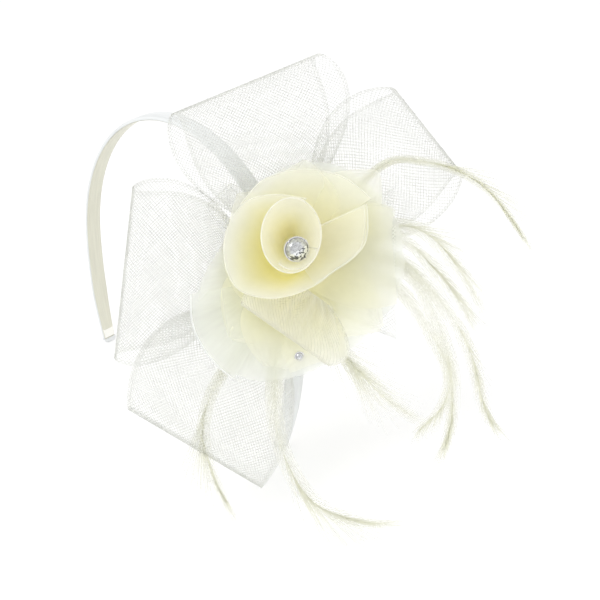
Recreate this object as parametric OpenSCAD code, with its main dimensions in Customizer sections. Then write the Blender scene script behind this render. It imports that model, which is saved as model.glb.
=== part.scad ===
// Fascinator headpiece: a satin-covered headband that carries a round felt base
// with crin loops, a tulle frill, organza petals, a rolled rose with a crystal
// and a spray of feathers.
// Frame: origin midway between the two band tips, +Z up to the crown, +X to the
// side that carries the flower. The wearer faces -Y. Millimetres.

/* [Headband] */
// Half of the widest inside spread of the band
band_half = 65.4; // [60:0.1:72]
// Rise of the crown above the widest level
crown_rise = 78.4; // [70:0.1:90]
// Height of the widest level above the tips
leg_len = 57; // [45:1:70]
// How far each tip turns inward
tip_inset = 8; // [3:1:14]
// Width of the covered band
band_w = 8; // [6:0.5:12]
// Width of the covered band at its tips
tip_w = 6; // [4:0.5:8]
// Thickness of the plastic core
core_t = 1.2; // [0.8:0.1:2]
// Thickness of the satin and of the liner ribbon
cloth_t = 0.3; // [0.2:0.05:0.5]
// Twist of the flower leg towards the face, in degrees
leg_twist = 30; // [0:5:40]

/* [Flower base] */
// Height of the flower centre above the tips
flower_z = 93; // [80:1:105]
// Roll of the flower on the band, in degrees
flower_roll = -14; // [-40:1:20]
// Diameter of the felt base
base_d = 56; // [50:1:66]
// Thickness of the felt base
base_t = 1.6; // [1:0.1:3]
// Height of the thread-bound stem that everything is tied to
stem_h = 9; // [7:0.5:12]
// Diameter of the stem
stem_d = 9; // [6:0.5:12]

/* [Crin and tulle] */
// Thickness of the crin loop solids
crin_t = 0.6; // [0.4:0.1:1]
// Mean outer radius of the tulle frill
frill_r = 41.5; // [38:0.5:46]
// Number of waves around the tulle frill
frill_waves = 17; // [9:1:24]

/* [Petals] */
// Thickness of the organza petal solids
petal_t = 0.5; // [0.4:0.1:1]

/* [Crystals] */
// Diameter of the centre crystal
crystal_d = 9.2; // [7:0.1:10]
// Diameter of the small crystal on the lower petal
small_d = 3; // [2:0.5:5]

/* [Hidden] */
$fn = 48;

cream = [0.95, 0.93, 0.80];
butter = [0.95, 0.90, 0.62];
net = [0.90, 0.92, 0.90];
satin_white = [0.90, 0.91, 0.93];
plume = [0.92, 0.92, 0.82];

// ---- Band line ----
arc_steps = 16;
leg_steps = 6;
outer_half = band_half + core_t + 2 * cloth_t;
outer_rise = crown_rise + core_t + 2 * cloth_t;
wrap_lap = 0.4;
taper_len = 25;

// Outer face of the band at step k, from the far tip (negative) to the near tip
function band_step_max() = arc_steps + leg_steps;
function leg_share(k) = max(0, (abs(k) - arc_steps) / leg_steps);
function arc_angle(k) = 90 * min(abs(k), arc_steps) / arc_steps;
function side(k) = k < 0 ? -1 : 1;
function band_point(k) = [
    side(k) * (outer_half * sin(arc_angle(k)) - tip_inset * pow(leg_share(k), 2)),
    0,
    leg_len * (1 - leg_share(k)) + outer_rise * cos(arc_angle(k))];
function unit(v) = v / norm(v);
function band_tangent(k) = unit(
    band_point(min(k + 0.5, band_step_max())) - band_point(max(k - 0.5, -band_step_max())));
function band_out(k) = let (t = band_tangent(k)) [-t[2], 0, t[0]];
// The near leg turns smoothly from the crown down to the flower
function ease(x) = let (c = min(1, max(0, x))) c * c * (3 - 2 * c);
function band_twist(k) = leg_twist * ease(k < 0 ? 0 : k / arc_steps);
function turned_out(k) = cos(band_twist(k)) * band_out(k) - sin(band_twist(k)) * [0, 1, 0];
function turned_across(k) = cos(band_twist(k)) * [0, 1, 0] + sin(band_twist(k)) * band_out(k);
function band_width(k) =
    let (d = min(1, band_point(k)[2] / taper_len)) tip_w + (band_w - tip_w) * d;

// Sweeps a section, a list of [share of half width, depth], along the band
module band_sweep(section, trim = 0) {
    last = band_step_max();
    steps = [for (k = [-last : 1 : last]) k];
    count = len(section);
    points = [
        for (k = steps) for (s = section)
            let (end_lift = abs(k) == last ? trim : 0)
            band_point(k) + [0, 0, end_lift]
                + turned_across(k) * (s[0] * band_width(k) / 2 + sign(s[0]) * s[2])
                - turned_out(k) * s[1]];
    walls = [
        for (i = [0 : len(steps) - 2]) for (j = [0 : count - 1])
            let (a = i * count + j, b = i * count + (j + 1) % count)
            each [[a, a + count, b], [b, a + count, b + count]]];
    caps = [
        [for (j = [0 : count - 1]) j],
        [for (j = [count - 1 : -1 : 0]) (len(steps) - 1) * count + j]];
    polyhedron(points = points, faces = concat(walls, caps));
}

module band_core() {
    top = cloth_t;
    low = cloth_t + core_t;
    color("ivory") band_sweep(
        [[-1, top, -wrap_lap], [1, top, -wrap_lap], [1, low, -wrap_lap], [-1, low, -wrap_lap]], 2);
}

module band_satin() {
    deep = cloth_t + core_t;
    color(satin_white) band_sweep([
        [-1, 0.15, 0], [-0.7, 0, 0], [0.7, 0, 0], [1, 0.15, 0], [1, deep, 0],
        [1, deep, -wrap_lap], [1, cloth_t, -wrap_lap],
        [-1, cloth_t, -wrap_lap], [-1, deep, -wrap_lap], [-1, deep, 0]], 2);
}

module band_liner() {
    top = cloth_t + core_t;
    low = core_t + 2 * cloth_t;
    color(cream) band_sweep([[-1, top, 0], [1, top, 0], [1, low, 0], [-1, low, 0]], 2);
}

// Folded cloth end that closes each tip of the band
module tip(k) {
    thick = core_t + 2 * cloth_t;
    turn = band_twist(k);
    color(satin_white)
    translate([band_point(k)[0], 0, 0])
    rotate([0, 0, k > 0 ? -turn : 180])
    translate([-thick, 0, 0])
    hull() {
        translate([0, -tip_w / 2, 1]) cube([thick, tip_w, 0.9]);
        translate([0, -tip_w / 2 + 1, 0]) cube([thick, tip_w - 2, 0.9]);
    }
}
module tip_far() { tip(-band_step_max()); }
module tip_near() { tip(band_step_max()); }

// ---- Flower frame: x to the wearer's back, y up the band, z away from the head ----
flower_k = arc_steps * acos((flower_z - leg_len) / outer_rise) / 90;
flower_tilt = atan2(band_out(flower_k)[2], band_out(flower_k)[0]);
module on_flower() {
    translate(band_point(flower_k))
        rotate([0, 90 - flower_tilt, 0])
        rotate([0, 0, 90])
        rotate([0, -leg_twist, 0])
        rotate([0, 0, flower_roll])
        children();
}

pad_h = 0.8;
dish_r = 260;
dish_z = pad_h + base_t;

module felt_patch() {
    depth = core_t + 2 * cloth_t + 1.2;
    color("ivory") on_flower() rotate([0, 0, -flower_roll])
        translate([0, 0, -depth - 0.4]) linear_extrude(1)
        hull() for (y = [-6, 6]) translate([0, y]) circle(d = 18);
}

module glue_pad() {
    color("ivory") on_flower() rotate([0, 0, -flower_roll])
        translate([0, 0, 0.2]) linear_extrude(pad_h - 0.2)
        hull() for (y = [-9, 9]) translate([0, y]) circle(d = 7.5);
}

// Round base, dished to follow the head
module base_disc() {
    rim = base_d / 2;
    drop = dish_r - sqrt(dish_r * dish_r - rim * rim);
    color(satin_white) on_flower() difference() {
        intersection() {
            translate([0, 0, dish_z - dish_r]) sphere(r = dish_r, $fn = 96);
            translate([0, 0, dish_z - drop - 2 * base_t]) cylinder(r = rim, h = drop + 3 * base_t);
        }
        translate([0, 0, dish_z - dish_r]) sphere(r = dish_r - base_t, $fn = 96);
    }
}

module stem() {
    color(cream) on_flower() translate([0, 4, dish_z]) cylinder(d = stem_d, h = stem_h);
}

// Turns of thread around the stem, as one ring of touching rings
module stem_thread() {
    thread = 0.6;
    color("ivory") on_flower() translate([0, 4, dish_z + 2])
        for (turn = [0 : 5]) translate([0, 0, turn * thread])
            rotate_extrude() translate([stem_d / 2 + thread / 2, 0]) circle(d = thread, $fn = 16);
}

// ---- Thin sheets from a grid of points ----
function grid_normal(g, i, j, wrap) =
    let (n = len(g), m = len(g[0]),
        i0 = wrap ? (i + n - 1) % n : max(i - 1, 0),
        i1 = wrap ? (i + 1) % n : min(i + 1, n - 1),
        j0 = max(j - 1, 0), j1 = min(j + 1, m - 1))
    unit(cross(g[i1][j] - g[i0][j], g[i][j1] - g[i][j0]));

module sheet(g, thick, wrap = false) {
    n = len(g);
    m = len(g[0]);
    half = thick / 2;
    layer = n * m;
    top = [for (i = [0 : n - 1]) for (j = [0 : m - 1]) g[i][j] + grid_normal(g, i, j, wrap) * half];
    low = [for (i = [0 : n - 1]) for (j = [0 : m - 1]) g[i][j] - grid_normal(g, i, j, wrap) * half];
    rows = wrap ? n - 1 : n - 2;
    skin = [
        for (i = [0 : rows]) for (j = [0 : m - 2])
            let (a = i * m + j, b = ((i + 1) % n) * m + j)
            each [[a, a + 1, b], [b, a + 1, b + 1],
                [a + layer, b + layer, a + 1 + layer], [b + layer, b + 1 + layer, a + 1 + layer]]];
    long_edges = [
        for (i = [0 : rows])
            let (a = i * m, b = ((i + 1) % n) * m, c = a + m - 1, d = b + m - 1)
            each [[a, b, a + layer], [b, b + layer, a + layer],
                [c, c + layer, d], [d, c + layer, d + layer]]];
    short_edges = wrap ? [] : [
        for (j = [0 : m - 2])
            let (a = j, c = (n - 1) * m + j)
            each [[a, a + layer, a + 1], [a + 1, a + layer, a + 1 + layer],
                [c, c + 1, c + layer], [c + 1, c + 1 + layer, c + layer]]];
    polyhedron(points = concat(top, low), faces = concat(skin, long_edges, short_edges));
}

// Smooth curve through a few points, for u from 0 to 1
function curve(p, u) =
    let (n = len(p) - 1, s = min(u * n, n - 0.0001), i = floor(s), f = s - i,
        a = p[max(i - 1, 0)], b = p[i], c = p[i + 1], d = p[min(i + 2, n)])
    0.5 * (2 * b + (c - a) * f + (2 * a - 5 * b + 4 * c - d) * f * f
        + (3 * b - a - 3 * c + d) * f * f * f);

// ---- Crin loops: ribbon out to a soft fold and back to the stem ----
// base: where both ends are gathered, half: half width there, p1 and p2: ends of
// the fold, crown: how far the loop opens at each end, bulge: how far each
// side edge bows out, skew: how far the lower layer shows past the upper one
loop_steps = 22;
loop_across = 8;
layer_gap = 0.7;
function loop_grid(base, half, p1, p2, crown, bulge, skew) =
    let (full = norm([p1[0] - p2[0], p1[1] - p2[1]]) / 2,
        c = [p1[0] - p2[0], p1[1] - p2[1], 0] / (2 * full),
        mid = (p1 + p2) / 2)
    [for (i = [0 : loop_steps])
        let (q = i / loop_steps, r = pow(max(sin(180 * q), 0), 0.75), open = sin(360 * q),
            spread = half + (full - half) * (1 - pow(1 - r, 2.5)))
        [for (j = [0 : loop_across])
            let (v = j / loop_across,
                bow = (1 - v) * (1 - v) * bulge[0] - v * v * bulge[1],
                flat = base * (1 - r) + mid * r + c * spread * (1 - 2 * v),
                high = base[2] + (p1[2] * (1 - v) + p2[2] * v - base[2]) * r * r
                    + (crown[0] * (1 - v) + crown[1] * v) * open + layer_gap * cos(180 * q))
            [flat[0], flat[1], high] + c * (bow * 4 * r * (1 - r) - skew * open)]];

module crin_loop(base, half, p1, p2, crown, bulge, skew) {
    color(net) on_flower() sheet(loop_grid(base, half, p1, p2, crown, bulge, skew), crin_t);
}

module crin_loop_top() {
    crin_loop([-3, 21, 5], 8, [-46, 66, 16], [13, 86, 10], [3, 8], [2, 6], 3);
}
module crin_loop_left() {
    crin_loop([-17, 2, 5], 8, [-73, -29, 14], [-63, 38, 16], [5, 4], [2, 2], -2);
}
module crin_loop_lower() {
    crin_loop([-11, -17, 5], 8, [-16, -88, 16], [-69, -49, 19], [4, 8], [4, 8], 2);
}
module crin_loop_right() {
    crin_loop([14, 16, 4.6], 7, [44, 71, 10], [72, 36, 9], [5, 3], [9, 7], 2);
}
module crin_small_loop() {
    crin_loop([-13, 15, 8.4], 4, [-33, 29, 10], [-24, 37, 11], [1.5, 1.5], [1, 1], 1);
}
module crin_petal() {
    crin_loop([8, -9, 14.5], 9, [12, -38, 19], [-23, -10, 20.5], [1.2, 1.2], [6, 2], 0);
}

// Cut end of the crin ribbon, one layer laid out to the side
tail_steps = 10;
module crin_tail() {
    grid = [for (i = [0 : tail_steps])
        let (s = i / tail_steps)
        [for (j = [0 : loop_across])
            let (v = 2 * j / loop_across - 1, w = 14 + 17 * pow(s, 0.8))
            [11 + 31 * s, 1 + v * w, 10.2 + 4.8 * s + 1.2 * sin(180 * s) * cos(90 * v)]]];
    color(net) on_flower() sheet(grid, crin_t);
}

// ---- Tulle frill ----
frill_steps = 102;
frill_rows = 3;
function frill_edge(a) = frill_r + 5 * cos(a + 41) + 5 * cos(2 * (a - 51)) + 2 * cos(3 * (a + 20));
module tulle_frill() {
    inner = 15;
    grid = [for (i = [0 : frill_steps - 1])
        let (a = 360 * i / frill_steps)
        [for (j = [0 : frill_rows])
            let (s = j / frill_rows, r = inner + (frill_edge(a) - inner) * s)
            [r * cos(a), 2 + r * sin(a), 8.6 + 6 * s + (0.3 + 1.4 * s) * sin(frill_waves * a)]]];
    color(net) on_flower() sheet(grid, petal_t, true);
}

// ---- Loose organza petals under the rose ----
// Each row: direction in degrees, reach, half width, end: 1 pointed, 0 round, -1 square
leaf_rows = [[47, 50, 18, 0.3], [3, 40.5, 24, -0.8], [-38, 45, 17, 0.7], [-78, 41, 15, -0.8],
    [-104, 41, 18, -0.2], [-135, 38, 17, 0], [172, 29, 15, 0], [84, 43, 17, 0.2],
    [27, 46, 16, 0.6], [126, 38, 15, 0.2]];
leaf_steps = 10;
leaf_across = 6;
leaf_start = 8;
function leaf_width(s, half, end) =
    let (rounded = pow(sin(20 + 158 * s), 0.8),
        pointed = pow(1 - s, 1.1) * (0.4 + 2.6 * s) + 0.04,
        square = 0.45 + 0.55 * pow(s, 0.7))
    half * (rounded * (1 - abs(end)) + pointed * max(end, 0) - square * min(end, 0));
function leaf_grid(turn, reach, half, end, low) =
    [for (i = [0 : leaf_steps])
        let (s = i / leaf_steps, d = leaf_start + (reach - leaf_start) * s,
            w = leaf_width(s, half, end))
        [for (j = [0 : leaf_across])
            let (v = 2 * j / leaf_across - 1)
            [d * cos(turn) - v * w * sin(turn),
                3 + d * sin(turn) + v * w * cos(turn),
                low + 4.5 * pow(s, 1.4) + 2 * v * v * s]]];
module leaf(n) {
    row = leaf_rows[n - 1];
    low = 11.6 + 0.9 * (n % 3);
    color(cream) on_flower() sheet(leaf_grid(row[0], row[1], row[2], row[3], low), petal_t);
}

// ---- Rose ----
rose_foot = [0, 9, 13];
petal_steps = 28;
petal_rows = 7;
// Surface from an arc around the foot of the rose out to a rim curve
function petal_grid(rim, from, to, foot_r, rise) =
    [for (i = [0 : petal_steps])
        let (u = i / petal_steps, a = from + (to - from) * u, edge = curve(rim, u),
            foot = rose_foot + [foot_r * cos(a), foot_r * sin(a), 0])
        [for (j = [0 : petal_rows])
            let (s = j / petal_rows, p = foot * (1 - s) + edge * s)
            [p[0], p[1], foot[2] + (edge[2] - foot[2]) * pow(s, rise)]]];

outer_rim = [[4, 31, 22], [-9, 33.5, 23], [-20, 31.5, 23], [-27, 23, 23.5], [-29.5, 14, 24],
    [-28.5, 4.5, 24.5], [-24, -3, 25], [-14, -6.7, 25], [-4, -6.4, 25], [6.4, -3.3, 24],
    [14, 1.2, 23], [21.5, 5.4, 22], [27, 10.5, 21], [29, 17, 20.5], [29, 27, 19.5]];
back_rim = [[31, 29, 18], [20, 38, 18], [4, 42, 18], [-12, 39, 19], [-22, 30, 20]];

module rose_outer_petal() {
    color(butter) on_flower() sheet(petal_grid(outer_rim, 80, 420, 7, 1.4), petal_t);
}
module rose_back_petal() {
    color(butter) on_flower() translate([0, 0, 0.6])
        sheet(petal_grid(back_rim, 24, 146, 9, 1.2), petal_t);
}

cone_steps = 28;
cone_rows = 6;
cone_top = [-5, 19, 34];
module rose_cone() {
    grid = [for (i = [0 : cone_steps - 1])
        let (a = 360 * i / cone_steps)
        [for (j = [0 : cone_rows])
            let (s = j / cone_rows, flare = pow(s, 0.8))
            [rose_foot[0] * (1 - s) + cone_top[0] * s + (3.6 + 8.2 * flare) * cos(a),
                (rose_foot[1] + 2) * (1 - s) + cone_top[1] * s + (3.6 + 11 * flare) * sin(a),
                rose_foot[2] + (cone_top[2] - rose_foot[2]) * s]]];
    color(butter) on_flower() sheet(grid, petal_t, true);
}

// Inner end of the rolled strip: a part funnel inside the cone, round the crystal
module rose_heart() {
    grid = [for (i = [0 : 10])
        let (a = 222 + 13 * i)
        [for (j = [0 : 4])
            let (s = j / 4, r = 5 + 3.9 * pow(s, 0.8))
            [-1 - 2.3 * s + r * cos(a), 12 + 2.2 * s + r * sin(a), 18 + 14 * s]]];
    color(butter) on_flower() sheet(grid, petal_t);
}

// ---- Crystals ----
crystal_at = [-1, 11.8, 25.6];
small_at = [0.6, -33.3, 18.4];
module crystal_body(d) {
    color("silver") {
        cylinder(d1 = d, d2 = d * 0.62, h = d * 0.2, $fn = 12);
        mirror([0, 0, 1]) cylinder(d1 = d, d2 = d * 0.3, h = d * 0.22, $fn = 12);
    }
}
// Metal cup with a rim and claws around the girdle of the stone
module crystal_holder(d) {
    color("silver") {
        difference() {
            translate([0, 0, -d * 0.32]) cylinder(d = d + 1, h = d * 0.3);
            translate([0, 0, -d * 0.24]) cylinder(d = d + 0.2, h = d * 0.3);
        }
        for (a = [0 : 90 : 270]) rotate([0, 0, a + 45])
            translate([d / 2 + 0.3, 0, -d * 0.1]) cylinder(d = d * 0.07, h = d * 0.2, $fn = 16);
    }
}
module crystal() { on_flower() translate(crystal_at) crystal_body(crystal_d); }
module crystal_cup() { on_flower() translate(crystal_at) crystal_holder(crystal_d); }
module small_crystal() { on_flower() translate(small_at) crystal_body(small_d); }
module small_cup() { on_flower() translate(small_at) crystal_holder(small_d); }

// ---- Feathers: shaft line through a few points, vane half width, where the vane starts ----
feather_lines = [
    [[16, 21, 8.6], [38, 41, 12], [54, 42, 14], [71, 36, 17], [84, 25, 19], [97, 7, 20]],
    [[19, 12, 8.6], [44, 16, 12], [57, 11, 17], [68, -3, 20], [77, -19, 20]],
    [[19, 10, 8.6], [44, 11, 13], [57, -1, 18], [66, -13, 20], [74, -26, 20]],
    [[19, 8, 8.6], [45, 2, 13], [62, -17, 16], [73, -38, 18], [78, -60, 20], [85, -74, 20]],
    [[19, 6, 8.6], [45, -1, 13], [58, -21, 17], [64, -45, 20], [63, -66, 22], [58, -80, 24]],
    [[18, 4, 8.6], [42, -8, 13], [56, -29, 20], [62, -45, 24], [57, -57, 28], [46, -65, 30]],
    [[5, -19, 8.6], [20, -35, 11], [33, -51, 20], [48, -62, 26]],
    [[-5, -20, 8.6], [-9, -42, 14], [-10, -66, 26], [0, -88, 34], [18, -98, 38], [37, -100, 40]],
    [[-9, -19, 8.6], [-31, -41, 12], [-39, -60, 16], [-37, -78, 20], [-29, -97, 22]]];
feather_half = [5, 5, 5, 6, 6, 7, 8, 8, 7];
feather_steps = 15;
vane_t = 0.8;
function vane_share(s) = s < 0.3 ? 0.12 + 0.3 * s
    : 0.21 + 0.79 * pow(sin(180 * pow((s - 0.3) / 0.7, 1.3)), 0.8);
module feather(n) {
    line = feather_lines[n - 1];
    half = feather_half[n - 1];
    points = [
        for (i = [0 : feather_steps])
            let (s = i / feather_steps, p = curve(line, s),
                t = unit(curve(line, min(1, s + 0.02)) - curve(line, max(0, s - 0.02))),
                across = unit(cross(t, [0, 0, 1])), up = cross(across, t),
                w = half * vane_share(s))
            each [p + across * w, p + up * vane_t / 2, p - across * w, p - up * vane_t / 2]];
    last = 4 * feather_steps;
    walls = [
        for (i = [0 : feather_steps - 1]) for (j = [0 : 3])
            let (a = 4 * i + j, b = 4 * i + (j + 1) % 4)
            each [[a, b, a + 4], [b, b + 4, a + 4]]];
    caps = [[3, 2, 1, 0], [last, last + 1, last + 2, last + 3]];
    color(plume) on_flower() polyhedron(points = points, faces = concat(walls, caps));
}

// Thread wound around the quills of each bunch
module feather_tie(at, turn) {
    color("ivory") on_flower() translate(at) rotate([0, 0, turn]) rotate([0, 90, 0])
        cylinder(d = 3.4, h = 5);
}
module feather_tie_side() { feather_tie([11, 9, 7.6], 15); }
module feather_tie_lower() { feather_tie([-1, -9, 7.6], -100); }

band_core();
band_satin();
band_liner();
tip_far();
tip_near();
felt_patch();
glue_pad();
base_disc();
stem();
stem_thread();
crin_loop_top();
crin_loop_left();
crin_loop_lower();
crin_loop_right();
crin_tail();
crin_small_loop();
crin_petal();
tulle_frill();
for (n = [1 : len(leaf_rows)]) leaf(n);
rose_back_petal();
rose_outer_petal();
rose_cone();
rose_heart();
crystal();
crystal_cup();
small_crystal();
small_cup();
for (n = [1 : 9]) feather(n);
feather_tie_side();
feather_tie_lower();
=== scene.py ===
"""Looks for the fascinator headpiece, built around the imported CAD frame.

Soft pieces are laid out in the flower's own frame, in millimetres: x to the wearer's
back, y up the band, z away from the head. put() turns them into metres in the row frame.
"""
import math

import bpy
import numpy as np
from mathutils import Matrix, Vector


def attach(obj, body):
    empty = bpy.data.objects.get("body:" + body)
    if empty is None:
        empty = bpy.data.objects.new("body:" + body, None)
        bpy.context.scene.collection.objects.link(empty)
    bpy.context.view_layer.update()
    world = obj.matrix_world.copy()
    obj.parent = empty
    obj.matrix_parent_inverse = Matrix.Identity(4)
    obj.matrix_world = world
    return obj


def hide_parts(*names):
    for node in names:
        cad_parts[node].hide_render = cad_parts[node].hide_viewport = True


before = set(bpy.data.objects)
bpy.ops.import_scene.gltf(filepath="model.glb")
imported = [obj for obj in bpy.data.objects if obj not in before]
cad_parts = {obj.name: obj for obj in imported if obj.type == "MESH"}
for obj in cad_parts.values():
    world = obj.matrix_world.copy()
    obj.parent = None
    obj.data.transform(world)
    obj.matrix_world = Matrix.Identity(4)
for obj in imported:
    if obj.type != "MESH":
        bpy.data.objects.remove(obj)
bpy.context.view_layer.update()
MM = 0.001
rng = np.random.default_rng(7)

# ---------------------------------------------------------------- camera and light
CAMERA_AT = Vector((0.4394, -0.3881, 0.4199))
CAMERA_TARGET = Vector((0.0715, -0.0032, 0.0835))
CAMERA_ROLL = math.radians(1.4)
LENS_MM = 93.3


def make_camera():
    data = bpy.data.cameras.new("camera")
    data.lens = LENS_MM
    data.sensor_width = 36
    data.clip_start = 0.01
    camera = bpy.data.objects.new("camera", data)
    bpy.context.scene.collection.objects.link(camera)
    look = (CAMERA_TARGET - CAMERA_AT).to_track_quat("-Z", "Y").to_matrix().to_4x4()
    roll = Matrix.Rotation(CAMERA_ROLL, 4, "Z")
    camera.matrix_world = Matrix.Translation(CAMERA_AT) @ look @ roll
    bpy.context.scene.camera = camera


def add_area(name, at, target, size, watts):
    data = bpy.data.lights.new(name, "AREA")
    data.shape = "SQUARE"
    data.size = size
    data.energy = watts
    light = bpy.data.objects.new(name, data)
    bpy.context.scene.collection.objects.link(light)
    look = (Vector(target) - Vector(at)).to_track_quat("-Z", "Y").to_matrix().to_4x4()
    light.matrix_world = Matrix.Translation(Vector(at)) @ look


def make_studio():
    world = bpy.data.worlds.new("studio")
    world.use_nodes = True
    back = world.node_tree.nodes["Background"]
    back.inputs["Color"].default_value = (1, 1, 1, 1)
    back.inputs["Strength"].default_value = 1.0
    bpy.context.scene.world = world
    middle = (0.05, 0, 0.09)
    add_area("key_light", (-0.1, -0.8, 0.9), middle, 0.5, 3.0)
    add_area("side_light", (1.0, 0.3, 0.5), middle, 0.8, 1.5)
    bpy.context.scene.view_settings.view_transform = "Standard"
    cycles = bpy.context.scene.cycles
    cycles.transparent_max_bounces = 64
    cycles.max_bounces = 14
    cycles.diffuse_bounces = 8
    bpy.ops.mesh.primitive_plane_add(size=6, location=(0, 0, -0.0005))
    floor = bpy.context.object
    floor.name = "floor"
    floor.data.materials.append(plain_material("floor_paper", (0.96, 0.96, 0.96), 0.8))


# ---------------------------------------------------------------- materials
WEAVE_PITCH = 0.45  # mm, of the thin cloths


class Nodes:
    """A new material's node tree, with short calls to add and join nodes."""

    def __init__(self, name):
        self.mat = bpy.data.materials.new(name)
        self.mat.use_nodes = True
        self.tree = self.mat.node_tree
        self.shader = self.tree.nodes["Principled BSDF"]
        self.output = self.tree.nodes["Material Output"]

    def add(self, kind, **settings):
        """A new node of a kind, with its named properties set."""
        node = self.tree.nodes.new("ShaderNode" + kind)
        for key, value in settings.items():
            setattr(node, key, value)
        return node

    def join(self, source, target):
        self.tree.links.new(source, target)

    def noise(self, scale, detail=3, stretch=None):
        """Noise over the piece's own metres, or over its cloth's metres if stretch is given."""
        place = self.add("TexCoord")
        noise = self.add("TexNoise")
        noise.inputs["Scale"].default_value = scale
        noise.inputs["Detail"].default_value = detail
        if stretch is None:
            self.join(place.outputs["Object"], noise.inputs["Vector"])
        else:
            squeeze = self.add("Mapping")
            squeeze.inputs["Scale"].default_value = (*stretch, 1)
            self.join(place.outputs["UV"], squeeze.inputs["Vector"])
            self.join(squeeze.outputs[0], noise.inputs["Vector"])
        return noise.outputs["Fac"]

    def spread(self, value, low, high):
        """Noise values, which mostly lie from 0.3 to 0.7, spread from low to high."""
        span = self.add("MapRange")
        span.inputs["From Min"].default_value = 0.3
        span.inputs["From Max"].default_value = 0.7
        span.inputs["To Min"].default_value = low
        span.inputs["To Max"].default_value = high
        self.join(value, span.inputs["Value"])
        return span.outputs[0]

    def times(self, a, b):
        product = self.add("MixRGB", blend_type="MULTIPLY")
        product.inputs[0].default_value = 1
        self.join(a, product.inputs[1])
        self.join(b, product.inputs[2])
        return product.outputs[0]

    def number(self, operation, a, b):
        """a and b are sockets or plain numbers."""
        result = self.add("Math", operation=operation)
        for socket, value in zip(result.inputs, (a, b)):
            if isinstance(value, (int, float)):
                socket.default_value = value
            else:
                self.join(value, socket)
        return result.outputs[0]

    def blend(self, share, first, second):
        """Mix of two shaders' outputs."""
        mix = self.add("MixShader")
        if isinstance(share, (int, float)):
            mix.inputs[0].default_value = share
        else:
            self.join(share, mix.inputs[0])
        self.join(first, mix.inputs[1])
        self.join(second, mix.inputs[2])
        return mix.outputs[0]

    def relief(self, heights, strength, depth_mm):
        bump = self.add("Bump")
        bump.inputs["Strength"].default_value = strength
        bump.inputs["Distance"].default_value = depth_mm * MM
        self.join(heights, bump.inputs["Height"])
        self.join(bump.outputs[0], self.shader.inputs["Normal"])
        return bump.outputs[0]


def plain_material(name, colour, rough, metal=0.0):
    nodes = Nodes(name)
    nodes.shader.inputs["Base Color"].default_value = (*colour, 1)
    nodes.shader.inputs["Roughness"].default_value = rough
    nodes.shader.inputs["Metallic"].default_value = metal
    return nodes.mat


def weave_height(nodes, pitch_mm):
    """Crossing ridges of a plain weave, from the cloth's own metres."""
    place = nodes.add("TexCoord")
    ridges = []
    for way in ("X", "Y"):
        wave = nodes.add("TexWave", bands_direction=way)
        wave.inputs["Scale"].default_value = 2 * math.pi / (20 * pitch_mm * MM)
        wave.inputs["Distortion"].default_value = 0.5
        nodes.join(place.outputs["UV"], wave.inputs["Vector"])
        ridges.append(wave.outputs["Fac"])
    return nodes.number("MULTIPLY", *ridges)


def cloth_material(name, light, deep, show, through, fade=0.0, streak=(250, 250), uneven=0.06):
    """Thin woven cloth, partly see-through. light and deep colour its open and hidden
    parts, by the mesh's own "deep" values: the deep colour is painted shade, the deeper
    yellow where shade falls in the hidden parts; show is how solid it looks, fade how much
    less so in its open parts, uneven by how much that varies, streak how fine along and
    across the cloth, and through how much light comes through it."""
    nodes = Nodes(name)
    # The "deep" values give each point's share of painted shade: the deep colour painted where
    # shade falls.
    painted_shade_share = nodes.add("Attribute", attribute_name="deep")
    painted_shade_mix = nodes.add("MixRGB")
    painted_shade_mix.inputs[1].default_value = (*light, 1)
    painted_shade_mix.inputs[2].default_value = (*deep, 1)
    nodes.join(painted_shade_share.outputs["Fac"], painted_shade_mix.inputs[0])
    patchy = nodes.spread(nodes.noise(60, 2), 0.98, 1.0)
    colour = nodes.times(painted_shade_mix.outputs[0], patchy)
    normal = nodes.relief(weave_height(nodes, WEAVE_PITCH), 0.25, 0.05)
    nodes.join(colour, nodes.shader.inputs["Base Color"])
    nodes.shader.inputs["Roughness"].default_value = 0.5
    nodes.shader.inputs["Sheen Weight"].default_value = 0.3
    glow = nodes.add("BsdfTranslucent")
    nodes.join(colour, glow.inputs["Color"])
    nodes.join(normal, glow.inputs["Normal"])
    lit = nodes.blend(through, nodes.shader.outputs[0], glow.outputs[0])
    clear = nodes.add("BsdfTransparent")
    grain = nodes.noise(1.0, 3, streak)
    solid = nodes.number("MULTIPLY", nodes.spread(grain, 1 - uneven, 1 + uneven), show)
    if fade:
        share = nodes.number("MULTIPLY", painted_shade_share.outputs["Fac"], fade)
        solid = nodes.number("MULTIPLY", solid, nodes.number("ADD", share, 1 - fade))
    nodes.join(nodes.blend(solid, clear.outputs[0], lit), nodes.output.inputs["Surface"])
    return nodes.mat


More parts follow.
